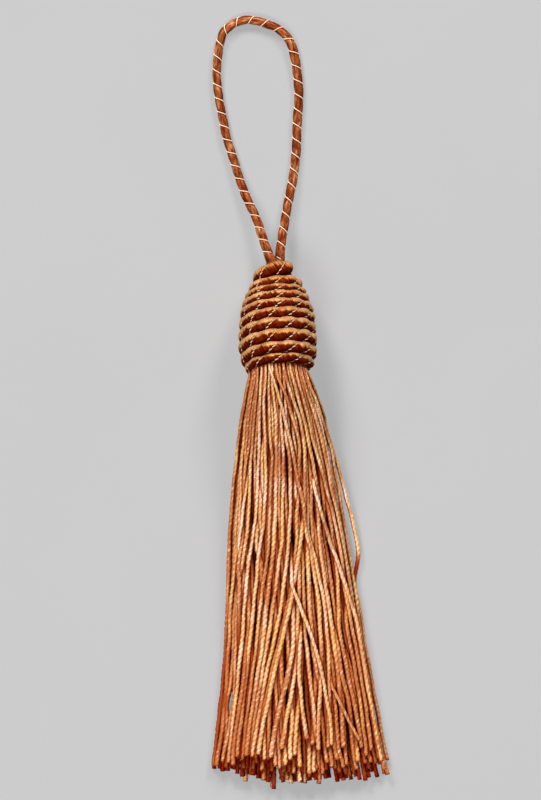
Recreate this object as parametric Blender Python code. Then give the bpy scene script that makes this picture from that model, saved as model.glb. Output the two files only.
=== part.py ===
"""Silk tassel, lying on its back on a flat surface.

A cord wound in tight turns covers the beehive head, a wrapped cord makes the hanging loop,
and a skirt of cut yarns, fused at their roots into the bound top of the bundle, spreads on the
surface.

Frame: metres, +Z up, the surface at z = 0. The origin is the flat spot under the head where its
turns bear on the surface. +Y runs towards the hanging loop, +X to the right seen from above.
"""

import math

import bmesh
import bpy
import numpy as np
from mathutils import Vector

MM = 0.001
UP = Vector((0, 0, 1))

# ---------------------------------------------------------------- driving dimensions

# The head leans down towards the loop, because it narrows there, and a little to the left.
HEAD_TILT = math.radians(15.5)
HEAD_YAW = math.radians(1.5)
FLAT_DEPTH = 0.35 * MM  # how far the lowest turn is pressed flat by the surface

# The winding, one row for each turn of cord from the mouth to the top.
# axial: distance up the head's axis; crest: radius at the outside of the cord.
HEAD_TURNS_MM = (
    # axial, crest
    (0.0, 8.15),
    (2.2, 9.2),
    (5.0, 9.7),
    (8.1, 9.6),
    (11.0, 9.45),
    (13.6, 9.2),
    (15.9, 8.6),
    (18.1, 7.75),
    (20.0, 7.0),
    (22.9, 5.7),
    (26.5, 4.3),
)
TURN_COUNT = 9.5
START_ANGLE = math.radians(200)  # the cord's lower end, at the left of the mouth
STEPS_A_TURN = 40
STEPS_ACROSS_CORD = 4
GROOVE_DEPTH = 0.95 * MM
SHARP_EDGE = math.radians(50)
BINDING_PITCH = 5.3 * MM  # the binding thread crosses the wound cord this often
BINDING_SLANT = 0.5  # of its pitch, from the lower side of a turn to the upper
BINDING_NIP = 0.16 * MM

SOCKET_RADIUS = 2.55 * MM  # the opening in the top turn that the loop's two ends enter
SOCKET_DEPTH = 0.8 * MM  # below the middle of the ends, which are cut square to the slanting legs
CLEARANCE = 0.35 * MM
CUT_REACH = 8 * MM  # how far a cutter stands out of the hole that it cuts

PLUG_RADIUS = 6.8 * MM  # the bound top of the yarn bundle, inside the head's mouth
PLUG_THICKNESS = 2.0 * MM
PLUG_INSET = 0.8 * MM  # how far the plug's lower face lies inside the mouth

LOOP_DIAMETER = 2.0 * MM
LOOP_WRAP_PITCH = 3.45 * MM
LOOP_WRAP_NIP = 0.14 * MM
LOOP_STEPS_A_WRAP = 4
LOOP_BEVEL_RESOLUTION = 2  # eight sides

# The loop's centreline from the left end in the head's socket, round the loop, to the right end.
LOOP_ROUTE_MM = (
    # x, y, height
    (-1.6, 13, 5),
    (-1.9, 14.9, 4.7),
    (-2.8, 17.35, 4.2),
    (-3.7, 20.05, 3.6),
    (-4.8, 23.4, 2.9),
    (-5.9, 26.3, 2.4),
    (-7.4, 29.4, 1.85),
    (-8.8, 33, 1.45),
    (-9.9, 36.1, 1.2),
    (-10.8, 39.2, 1.08),
    (-11.8, 42.35, 1.03),
    (-12.8, 45.7, 1.03),
    (-13.3, 48.4, 1.03),
    (-14.2, 52.55, 1.03),
    (-14.85, 57, 1.03),
    (-15.15, 61.5, 1.03),
    (-14.85, 65.9, 1.03),
    (-14.25, 69.3, 1.03),
    (-13.4, 71.6, 1.03),
    (-11.9, 73, 1.03),
    (-10.2, 74, 1.03),
    (-8.4, 74.55, 1.03),
    (-6.2, 74.6, 1.03),
    (-3.9, 74.1, 1.03),
    (-1.7, 73.35, 1.03),
    (0.55, 72.2, 1.03),
    (2.25, 70.6, 1.03),
    (3.4, 68.8, 1.03),
    (4.15, 66.4, 1.03),
    (4.75, 63.7, 1.03),
    (5.15, 60.35, 1.03),
    (5.4, 57, 1.03),
    (5.35, 53.65, 1.03),
    (5.1, 50.3, 1.03),
    (4.95, 45.8, 1.03),
    (4.8, 42.35, 1.03),
    (4.35, 37.9, 1.05),
    (3.8, 33.9, 1.35),
    (3.1, 30.5, 1.7),
    (2.4, 27.1, 2.25),
    (1.8, 23.4, 2.9),
    (1.25, 20.05, 3.6),
    (0.95, 17.1, 4.2),
    (0.75, 14.9, 4.7),
    (0.75, 13, 5),
)

STRAND_COUNT = 150
STRAND_RADIUS = 0.52 * MM  # of the circle round the three-sided yarn
STRAND_SPACING = 1.06 * MM
ROOT_SINK = 1.0 * MM  # how deep the roots run into the plug

# Sections across the skirt where its yarns bend, from the mouth to the hem where they are cut.
# left, right: the outermost yarns; thickness: share of a yarn's full thickness.
SKIRT_SECTIONS_MM = (
    # from_mouth, left, right, middle_top, middle_bottom, side_height, thickness
    (0.6, -6.05, 6.7, 18.4, 6.0, 12.2, 0.72),
    (5.0, -7.8, 9.6, 19.1, 5.2, 12.0, 0.88),
    (22.0, -10.6, 14.6, 14.1, 0.3, 4.9, 1.0),
    (58.0, -12.9, 20.6, 7.8, 0.2, 0.2, 1.0),
    (103.3, -16.6, 29.7, 5.9, 0.2, 0.2, 1.0),
)
HEM_RISE = 5.0 * MM  # the upper yarns in the middle end this much nearer the head
HEM_SIDE_RISE = 3.0 * MM  # and the outermost ones this much
HEM_JITTER = 1.4 * MM

# The yarn at the right edge springs out of the bundle between two sections.
STRAY_AFTER_SECTION = 3
STRAY_YARN_MM = (
    # from_mouth, x, height
    (27.0, 16.0, 3.6),
    (33.0, 17.2, 3.0),
    (39.0, 18.7, 2.5),
    (44.0, 19.9, 2.0),
    (48.0, 20.5, 1.5),
    (51.5, 20.5, 1.0),
    (54.5, 20.4, 0.6),
)

SILK_SEED = 11
GOLDEN = (math.sqrt(5) - 1) / 2


# ---------------------------------------------------------------- helpers


def smooth_through(rows, at):
    """Values at a place along a table, on a smooth curve through its rows (Catmull-Rom)."""
    last = len(rows) - 1
    at = min(max(at, 0.0), float(last))
    i = min(int(at), last - 1)
    t = at - i
    before, a, b, after = (
        np.array(rows[min(max(k, 0), last)], float) for k in (i - 1, i, i + 1, i + 2)
    )
    return 0.5 * (
        2 * a
        + (b - before) * t
        + (2 * before - 5 * a + 4 * b - after) * t**2
        + (3 * a - before - 3 * b + after) * t**3
    )


def silk(name, colour, roughness):
    """A yarn material: satin, not metallic."""
    material = bpy.data.materials.new(name)
    material.use_nodes = True
    shader = material.node_tree.nodes["Principled BSDF"]
    shader.inputs["Base Color"].default_value = (*colour, 1)
    shader.inputs["Roughness"].default_value = roughness
    shader.inputs["Metallic"].default_value = 0
    return material


def add_object(name, data, collection, material=None):
    obj = bpy.data.objects.new(name, data)
    collection.objects.link(obj)
    if material:
        obj.data.materials.append(material)
    return obj


def as_mesh_object(source, name, collection):
    """The curve object made a mesh object, with its caps welded; the curve is removed."""
    bpy.context.view_layer.update()
    graph = bpy.context.evaluated_depsgraph_get()
    mesh = bpy.data.meshes.new_from_object(source.evaluated_get(graph))
    shape = bmesh.new()
    shape.from_mesh(mesh)
    bmesh.ops.remove_doubles(shape, verts=shape.verts, dist=1e-6)
    bmesh.ops.recalc_face_normals(shape, faces=shape.faces)
    shape.to_mesh(mesh)
    shape.free()
    made = add_object(name, mesh, collection)
    made.matrix_world = source.matrix_world
    bpy.data.objects.remove(source)
    return made


def round_bar(name, centre, axis, radius, length, collection):
    """A cylinder standing on centre along axis."""
    bpy.ops.mesh.primitive_cylinder_add(
        vertices=32, radius=radius, depth=length, location=centre + axis * (length / 2)
    )
    bar = bpy.context.object
    bar.name = name
    bar.rotation_mode = "QUATERNION"
    bar.rotation_quaternion = axis.to_track_quat("Z", "Y")
    for other in bar.users_collection:
        other.objects.unlink(bar)
    collection.objects.link(bar)
    return bar


def as_helper(obj):
    obj.hide_render = True
    obj.display_type = "WIRE"


def add_boolean(target, tool, operation):
    modifier = target.modifiers.new(f"{operation.lower()}_{tool.name}", "BOOLEAN")
    modifier.operation = operation
    modifier.object = tool
    modifier.solver = "EXACT"


# ---------------------------------------------------------------- the head's place

HEAD_AXIS = Vector(
    (
        -math.sin(HEAD_YAW) * math.cos(HEAD_TILT),
        math.cos(HEAD_YAW) * math.cos(HEAD_TILT),
        -math.sin(HEAD_TILT),
    )
)
HEAD_RIGHT = Vector((math.cos(HEAD_YAW), math.sin(HEAD_YAW), 0))
HEAD_UP = HEAD_RIGHT.cross(HEAD_AXIS)


def turn_at(turns):
    """(distance up the axis, crest radius) of the winding at a number of turns from the mouth."""
    return smooth_through(HEAD_TURNS_MM, turns) * MM


def mouth_centre():
    """Where the mouth's centre lies, so that the lowest turn is pressed flat at the origin."""
    underside = math.radians(270)
    first = (START_ANGLE - underside) / math.tau
    drops = {}
    for turn in range(1, int(TURN_COUNT)):
        axial, crest = turn_at(first + turn)
        drops[crest * HEAD_UP.z - axial * HEAD_AXIS.z] = (axial, crest)
    lowest = max(drops)
    axial, crest = drops[lowest]
    bearing = HEAD_AXIS * axial - HEAD_UP * crest
    return Vector((-bearing.x, -bearing.y, lowest - FLAT_DEPTH))


MOUTH = mouth_centre()


# ---------------------------------------------------------------- head


def cord_relief(across, along):
    """Height above the groove of the wound cord: a round back, nipped where the binding crosses."""
    back = math.sqrt(max(0.0, 1 - (2 * across - 1) ** 2))
    slant = BINDING_SLANT * (across - 0.5)
    nip = max(0.0, math.cos(math.tau * (along / BINDING_PITCH - slant))) ** 3
    return GROOVE_DEPTH * back - BINDING_NIP * nip * back


def head_winding(collection, material):
    """One solid of the wound form: a helical strip of ridged faces, closed at both ends."""
    steps = round(TURN_COUNT * STEPS_A_TURN)
    across_steps = STEPS_ACROSS_CORD
    shape = bmesh.new()
    made = {}

    along = [0.0]
    for step in range(steps):
        crest = turn_at(step / STEPS_A_TURN)[1]
        along.append(along[-1] + math.tau * crest / STEPS_A_TURN)

    def corner(step, across):
        """A point of the strip; its upper edge is the next turn's lower edge."""
        if across == across_steps and step + STEPS_A_TURN <= steps:
            return corner(step + STEPS_A_TURN, 0)
        if (step, across) not in made:
            share = across / across_steps
            turns = step / STEPS_A_TURN
            axial, crest = turn_at(turns + share - 0.5 if turns + share > 0.5 else 0.0)
            axial += min(0.0, turns + share - 0.5) * (turn_at(1) - turn_at(0))[0]
            angle = START_ANGLE - math.tau * turns
            radius = crest - GROOVE_DEPTH + cord_relief(share, along[step])
            place = (
                MOUTH
                + HEAD_AXIS * axial
                + (HEAD_RIGHT * math.cos(angle) + HEAD_UP * math.sin(angle)) * radius
            )
            place.z = max(place.z, 0.0)  # pressed flat by the surface
            made[step, across] = shape.verts.new(place)
        return made[step, across]

    for step in range(steps):
        for across in range(across_steps):
            ring = (step, across), (step, across + 1), (step + 1, across + 1), (step + 1, across)
            shape.faces.new([corner(*at) for at in ring])
    rims = [edge for edge in shape.edges if edge.is_boundary]
    ends = bmesh.ops.holes_fill(shape, edges=rims)["faces"]
    bmesh.ops.poke(shape, faces=ends)
    bmesh.ops.recalc_face_normals(shape, faces=shape.faces)

    mesh = bpy.data.meshes.new("head_winding")
    shape.to_mesh(mesh)
    shape.free()
    mesh.shade_smooth()
    mesh.set_sharp_from_angle(angle=SHARP_EDGE)
    return add_object("head_winding", mesh, collection, material)


def cut_head(head, cutters):
    """The mouth takes the skirt's plug, and the socket in the top turn the loop's two ends."""
    recess = round_bar(
        "mouth_recess",
        MOUTH - HEAD_AXIS * CUT_REACH,
        HEAD_AXIS,
        PLUG_RADIUS + CLEARANCE,
        CUT_REACH + PLUG_INSET + PLUG_THICKNESS + CLEARANCE,
        cutters,
    )
    socket = round_bar(
        "loop_socket",
        loop_entry() - HEAD_AXIS * SOCKET_DEPTH,
        HEAD_AXIS,
        SOCKET_RADIUS,
        CUT_REACH,
        cutters,
    )
    for tool in (recess, socket):
        as_helper(tool)
        add_boolean(head, tool, "DIFFERENCE")


def loop_entry():
    """The middle of the loop's two ends."""
    ends = [Vector(LOOP_ROUTE_MM[k]) * MM for k in (0, -1)]
    return (ends[0] + ends[1]) / 2


# ---------------------------------------------------------------- hanging loop


def loop_points():
    """The loop's centreline, with even steps a fraction of a wrap apart."""
    fine = np.array(
        [smooth_through(LOOP_ROUTE_MM, k / 20) for k in range(20 * (len(LOOP_ROUTE_MM) - 1) + 1)]
    )
    fine *= MM
    along = np.concatenate([[0], np.cumsum(np.linalg.norm(np.diff(fine, axis=0), axis=1))])
    count = round(along[-1] / (LOOP_WRAP_PITCH / LOOP_STEPS_A_WRAP))
    at = np.linspace(0, along[-1], count + 1)
    return np.stack([np.interp(at, along, fine[:, k]) for k in range(3)], axis=1)


def hanging_loop(collection, material):
    """The loop's cord: a tube nipped in a left-handed helix by the thread wrapped round it."""
    points = loop_points()
    curve = bpy.data.curves.new("hanging_loop_line", "CURVE")
    curve.dimensions = "3D"
    curve.twist_mode = "Z_UP"
    curve.bevel_depth = LOOP_DIAMETER / 2
    curve.bevel_resolution = LOOP_BEVEL_RESOLUTION
    curve.use_fill_caps = True
    spline = curve.splines.new("POLY")
    spline.points.add(len(points) - 1)
    for point, place in zip(spline.points, points):
        point.co = (*place, 1)
    loop = as_mesh_object(add_object("hanging_loop_line", curve, collection), "hanging_loop", collection)
    loop.data.materials.append(material)
    loop.data.shade_smooth()

    directions = np.gradient(points, axis=0)
    for vertex in loop.data.vertices:
        nearest = int(np.argmin(((points - np.array(vertex.co)) ** 2).sum(axis=1)))
        centre = Vector(points[nearest])
        out = vertex.co - centre
        if out.length < LOOP_DIAMETER / 4:
            continue
        side = Vector(directions[nearest]).cross(UP).normalized()
        angle = math.atan2(out.z, out.dot(side))
        phase = nearest / LOOP_STEPS_A_WRAP + angle / math.tau
        nip = max(0.0, math.cos(math.tau * phase)) ** 2
        vertex.co = centre + out * (1 - LOOP_WRAP_NIP * nip / (LOOP_DIAMETER / 2))
    return loop


# ---------------------------------------------------------------- skirt


def lateral_share(area_share):
    """Where a column lies across an ellipse, from -1 to 1, with that share of its area to its left."""
    low, high = -1.0, 1.0
    for _ in range(40):
        middle = (low + high) / 2
        left_area = 0.5 + (middle * math.sqrt(1 - middle**2) + math.asin(middle)) / math.pi
        low, high = (middle, high) if left_area < area_share else (low, middle)
    return low


def strand_places():
    """Each yarn's lateral share, from -1 to 1, and height share, from 0 to 1, spread evenly."""
    return [
        (lateral_share(((i + 0.5) * GOLDEN) % 1), (i + 0.5) / STRAND_COUNT)
        for i in range(STRAND_COUNT)
    ]


def section_points(places, left, right, top, bottom, side):
    """(x, z) in mm of every yarn in a section of the skirt."""
    points = []
    for lateral, height in places:
        bulge = math.sqrt(1 - lateral**2)
        upper = side + (top - side) * bulge
        lower = side + (bottom - side) * bulge
        x = (left + right) / 2 + lateral * (right - left) / 2
        points.append((x, lower + height * (upper - lower)))
    return np.array(points)


def settled(points, spacing, floor):
    """The points of a section pushed apart to the spacing, with none below the floor."""
    points = points.copy()
    for _ in range(400):
        apart = points[:, None] - points[None]
        far = np.linalg.norm(apart, axis=2)
        np.fill_diagonal(far, 1.0)
        push = np.maximum(spacing - far, 0) / 2
        points += 0.7 * (apart / far[..., None] * push[..., None]).sum(axis=1)
        points[:, 1] = np.maximum(points[:, 1], floor)
    return points


def strand_paths():
    """The centreline of every yarn, from its root in the plug to its cut end, and its thicknesses."""
    places = strand_places()
    rest = STRAND_RADIUS / 2  # the flat side of a three-sided yarn lies on the surface
    stations = [row[0] * MM for row in SKIRT_SECTIONS_MM]
    thicknesses = [row[-1] for row in SKIRT_SECTIONS_MM]
    sections = [
        settled(section_points(places, *row[1:-1]) * MM, STRAND_SPACING * row[-1], rest)
        for row in SKIRT_SECTIONS_MM
    ]
    lateral, height = np.array(places).T
    ends = stations[-1] - HEM_RISE * height * (1 - lateral**2) - HEM_SIDE_RISE * lateral**2
    ends += HEM_JITTER * np.random.default_rng(SILK_SEED).uniform(-1, 1, STRAND_COUNT)

    paths = []
    for i in range(STRAND_COUNT):
        x, z = sections[0][i]
        rise = (z - MOUTH.z) / math.cos(HEAD_TILT)
        start_y = MOUTH.y + rise * math.sin(HEAD_TILT)
        path = [MOUTH + HEAD_AXIS * (PLUG_INSET + ROOT_SINK) + HEAD_RIGHT * x + HEAD_UP * rise]
        for station, section in zip(stations, sections):
            path.append(Vector((section[i][0], start_y - station, section[i][1])))
        share = (ends[i] - stations[-2]) / (stations[-1] - stations[-2])
        path[-1] = path[-2].lerp(path[-1], share)
        if i == np.argmax(lateral):
            after = STRAY_AFTER_SECTION + 1
            path[after:after] = [
                Vector((x * MM, start_y - distance * MM, z * MM)) for distance, x, z in STRAY_YARN_MM
            ]
        paths.append(path)
    return paths, [thicknesses[0], *thicknesses]


def skirt(collection, cutters, material):
    """The cut yarns, three-sided, with their roots fused into the bound top of the bundle."""
    outline = bpy.data.curves.new("yarn_outline", "CURVE")
    outline.dimensions = "2D"
    ring = outline.splines.new("POLY")
    ring.points.add(2)
    ring.use_cyclic_u = True
    for k, point in enumerate(ring.points):
        angle = math.radians(90 + 120 * k)
        point.co = (STRAND_RADIUS * math.cos(angle), STRAND_RADIUS * math.sin(angle), 0, 1)
    outline_object = add_object("yarn_outline", outline, cutters)
    as_helper(outline_object)

    curve = bpy.data.curves.new("yarn_lines", "CURVE")
    curve.dimensions = "3D"
    curve.twist_mode = "Z_UP"
    curve.bevel_mode = "OBJECT"
    curve.bevel_object = outline_object
    curve.use_fill_caps = True
    paths, thicknesses = strand_paths()
    for path in paths:
        spline = curve.splines.new("POLY")
        spline.points.add(len(path) - 1)
        for k, (point, place) in enumerate(zip(spline.points, path)):
            point.co = (*place, 1)
            point.radius = thicknesses[min(k, len(thicknesses) - 1)]
    yarns = as_mesh_object(add_object("yarn_lines", curve, cutters), "yarns", cutters)
    as_helper(yarns)

    plug = round_bar(
        "skirt",
        MOUTH + HEAD_AXIS * PLUG_INSET,
        HEAD_AXIS,
        PLUG_RADIUS,
        PLUG_THICKNESS,
        collection,
    )
    plug.data.materials.append(material)
    add_boolean(plug, yarns, "UNION")
    return plug


# ---------------------------------------------------------------- assembly


def main():
    for obj in list(bpy.data.objects):
        bpy.data.objects.remove(obj)
    tassel = bpy.data.collections.new("silk_tassel")
    cutters = bpy.data.collections.new("cutters")
    for collection in (tassel, cutters):
        bpy.context.scene.collection.children.link(collection)

    wound_silk = silk("wound_silk", (0.50, 0.19, 0.06), 0.45)
    loop_silk = silk("loop_silk", (0.32, 0.08, 0.025), 0.5)
    skirt_silk = silk("skirt_silk", (0.60, 0.26, 0.10), 0.45)

    head = head_winding(tassel, wound_silk)
    cut_head(head, cutters)
    hanging_loop(tassel, loop_silk)
    skirt(tassel, cutters, skirt_silk)


main()
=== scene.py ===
"""The look of a silk tassel that lies on its back: a wound head, a hanging loop and a long skirt."""

import math

import bpy
import numpy as np
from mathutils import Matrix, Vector


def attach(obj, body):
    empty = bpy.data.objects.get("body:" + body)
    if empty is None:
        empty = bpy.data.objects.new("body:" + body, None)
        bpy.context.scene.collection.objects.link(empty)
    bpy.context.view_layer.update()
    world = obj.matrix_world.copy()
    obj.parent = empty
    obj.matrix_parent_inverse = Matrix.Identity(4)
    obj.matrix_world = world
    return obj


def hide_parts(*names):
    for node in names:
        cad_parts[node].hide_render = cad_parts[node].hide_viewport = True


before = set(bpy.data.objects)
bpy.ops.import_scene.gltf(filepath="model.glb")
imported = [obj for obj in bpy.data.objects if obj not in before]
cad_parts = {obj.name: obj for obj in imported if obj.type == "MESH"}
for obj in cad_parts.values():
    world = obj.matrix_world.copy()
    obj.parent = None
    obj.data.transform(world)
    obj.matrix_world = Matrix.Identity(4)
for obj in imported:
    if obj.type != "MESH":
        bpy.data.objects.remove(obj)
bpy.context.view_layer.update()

MM = 0.001
TAU = math.tau
GOLDEN_SECTION = (math.sqrt(5) - 1) / 2

# ---------------- sizes, in millimetres

FLOOR_GAP = 0.01
THREAD_TWISTS = 1.6  # of a thread's marks round it, in each millimetre

# The head's axis dips towards the loop. Its mouth's centre is where part.py works it out to be.
HEAD_TILT = math.radians(15.5)
HEAD_YAW = math.radians(1.5)
MOUTH = np.array((0.3289, -12.5619, 12.2025))
HEAD_AXIS = np.array((-math.sin(HEAD_YAW), math.cos(HEAD_YAW), 0)) * math.cos(HEAD_TILT)
HEAD_AXIS[2] = -math.sin(HEAD_TILT)
HEAD_RIGHT = np.array((math.cos(HEAD_YAW), math.sin(HEAD_YAW), 0))
HEAD_UP = np.cross(HEAD_RIGHT, HEAD_AXIS)
START_ANGLE = math.radians(200)
TURN_COUNT = 9.5
HEAD_TURNS = (
    # axial, crest
    (0, 8.15), (2.2, 9.2), (5, 9.7), (8.1, 9.6), (11, 9.45), (13.6, 9.2),
    (15.9, 8.6), (18.1, 7.75), (19.9, 7), (22.7, 5.8), (27.6, 4.4),
)
TURN_SPACING = (2, 3.6)  # least and most
TURN_PRESS = 1.06  # each turn is this much wider than its spacing, and presses on the next
CORD_FLATNESS = 0.52  # half the cord's height, for a spacing of 1
CORD_HALF_HEIGHT = (1.15, 1.5)  # least and most
CORE_MOUTH = (0.9, 6.6)  # axial, radius
CORE_DEPTH = 1.5  # below the turns' crests
CORE_SIDES = 40
# The core's end, inside the top turn, that the loop's two ends go into
CORE_TIP = (
    # axial, radius
    (24.6, 3.1), (25.6, 2.9), (26.4, 2.6), (27, 2.1), (27.3, 1.4),
)
RIB_PITCH = 0.5208
RIB_DEPTH = 0.15
RIB_STEPS = 5  # of the cord's rings, in each rib
RIB_LEAN = 1.1  # of a rib's pitch, in a quarter of a turn round the cord
CORD_SIDES = 18
BINDING_PITCH = 10.6
BINDING_STARTS = 2
BINDING_NIP = 0.27
BINDING_WIDTH = 0.85
BINDING_THREAD = 0.105
BINDING_STEP = 0.25
BINDING_TWIST = 1.25  # its pale ply and its dark one go round each other once in this length
FLOSS_SLANT = 2.6  # how far along the cord its floss goes, in one turn round it
PAINTED_LIT_SIDE = math.radians(50)  # the cord's side that is painted lit, from outward to upward
HEAD_THREADS = (
    # piece, material, colour, colour in its twist, roughness, colour painted on it where it lies on the
    # silk's painted lit side
    ("head_pale_thread", "pale_binding", (0.8, 0.57, 0.4), (0.32, 0.12, 0.04), 0.4, (0.5, 0.28, 0.12)),
    ("head_dark_thread", "dark_binding", (0.03, 0.008, 0.003), (0.01, 0.003, 0.001), 0.5, (0.36, 0.17, 0.06)),
)

LOOP_DIAMETER = 2.2
LOOP_STEP = 0.16
LOOP_SIDES = 24
LOOP_NIP = 0.17
LOOP_NIP_WIDTH = 0.2  # of the thread's pitch
LOOP_PLY_DEPTH = 0.15
LOOP_PLIES = 3
LOOP_LAY = 46  # its plies go round once in this length
LOOP_UNEVENNESS = 0.03
LOOP_RIGHT_SWELL = 0.07  # it is a little thicker on the right
LEG_SWELL, LEG_INWARD_SWELL, LEG_SWELL_LENGTH = 0.1, 0.45, 4
LOOP_THREAD = 0.125
LOOP_THREAD_COLOURS = (0.76, 0.54, 0.37), (0.46, 0.21, 0.09)
LOOP_WRAP_PITCHES = (3.3, 3.9)  # at the start and the end
LOOP_ROUTE = (
    (-1.6, 13, 5), (-1.9, 14.9, 4.7), (-2.8, 17.35, 4.2), (-3.7, 20.05, 3.6), (-4.8, 23.4, 2.9),
    (-5.9, 26.3, 2.4), (-7.4, 29.4, 1.85), (-8.8, 33, 1.45), (-9.9, 36.1, 1.2), (-10.8, 39.2, 1.08),
    (-11.8, 42.35, 1.03), (-12.8, 45.7, 1.03), (-13.3, 48.4, 1.03), (-14.2, 52.55, 1.03), (-14.85, 57, 1.03),
    (-15.15, 61.5, 1.03), (-14.85, 65.9, 1.03), (-14.25, 69.3, 1.03), (-13.4, 71.6, 1.03), (-11.9, 73, 1.03),
    (-10.2, 74, 1.03), (-8.4, 74.55, 1.03), (-6.2, 74.6, 1.03), (-3.9, 74.1, 1.03), (-1.7, 73.35, 1.03),
    (0.55, 72.2, 1.03), (2.25, 70.6, 1.03), (3.4, 68.8, 1.03), (4.15, 66.4, 1.03), (4.75, 63.7, 1.03),
    (5.15, 60.35, 1.03), (5.4, 57, 1.03), (5.35, 53.65, 1.03), (5.1, 50.3, 1.03), (4.95, 45.8, 1.03),
    (4.8, 42.35, 1.03), (4.35, 37.9, 1.05), (3.8, 33.9, 1.35), (3.1, 30.5, 1.7), (2.4, 27.1, 2.25),
    (1.8, 23.4, 2.9), (1.25, 20.05, 3.6), (0.95, 17.1, 4.2), (0.75, 14.9, 4.7), (0.75, 13, 5),
)

YARNS = 157
YARN_SEED = 11
YARN_SIDES = 10
YARN_STEP = 0.47
LOW_YARN_STEP = 0.62  # for the yarns that lie under the others
YARN_TWIST = 3.1  # a ply goes round once in this length
YARN_STAGGER = 13.7  # in the texture, so that no two yarns are marked alike
YARN_UNEVENNESS = 0.07
YARN_FAN, YARN_SWAY, YARN_LIFT = 0.12, 0.035, 0.16  # of the skirt's half width or height
YARN_WAVES = 0.09
PLY_WAIST = 0.82  # of the yarn's radius, in the groove between its two plies
ROOT_LENGTH = 2.2  # inside the mouth
CROWDING = 0.94  # neighbours settle this near, where 1 is side by side
SETTLE_CYCLES = 120
LOOSE = 0.04  # how firmly a plain yarn keeps to its place, in each cycle
SKIRT_PIECES = 4
# The skirt's outline and the yarns' radius at distances from the mouth
SKIRT_SECTIONS = (
    # from_mouth, left, right, middle_top, middle_bottom, side_height, yarn
    (0.6, -6.5, 7.3, 18.3, 6.1, 12.2, 0.38),
    (2.6, -7.4, 8.5, 18.9, 5.6, 12.1, 0.4),
    (5.6, -8, 9.8, 18.9, 4.9, 11.7, 0.42),
    (11.6, -9.1, 11.6, 17, 2.8, 8.9, 0.45),
    (17.6, -9.8, 13.1, 15.2, 1.1, 6.4, 0.48),
    (26.6, -10.8, 14.8, 12.9, 0.3, 3.6, 0.51),
    (35.6, -11.7, 16.4, 11.2, 0.2, 1.8, 0.54),
    (47.6, -12.4, 18.2, 9.2, 0.2, 0.7, 0.57),
    (59.6, -12.7, 20.4, 7.9, 0.2, 0.4, 0.6),
    (71.6, -13, 22.4, 7.2, 0.2, 0.3, 0.61),
    (83.6, -14.3, 24.6, 6.6, 0.2, 0.3, 0.61),
    (95.6, -15.7, 26.9, 6.1, 0.2, 0.3, 0.62),
    (106, -16.7, 29.4, 5.7, 0.2, 0.3, 0.62),
)
SKIRT_STEP = 1.8
# The hem: how far across, from -1 to 1, and how far below the mouth. The top yarns end HEM_RISE
# above it, and for the lowest ones LOW_ENDS takes its place.
HEM = ((-1, 101.4), (-0.75, 102.6), (-0.5, 103.8), (0, 104.3), (0.6, 104.2), (1, 102.8))
HEM_RISE = 5.6
HEM_JITTER = 1.3

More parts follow.
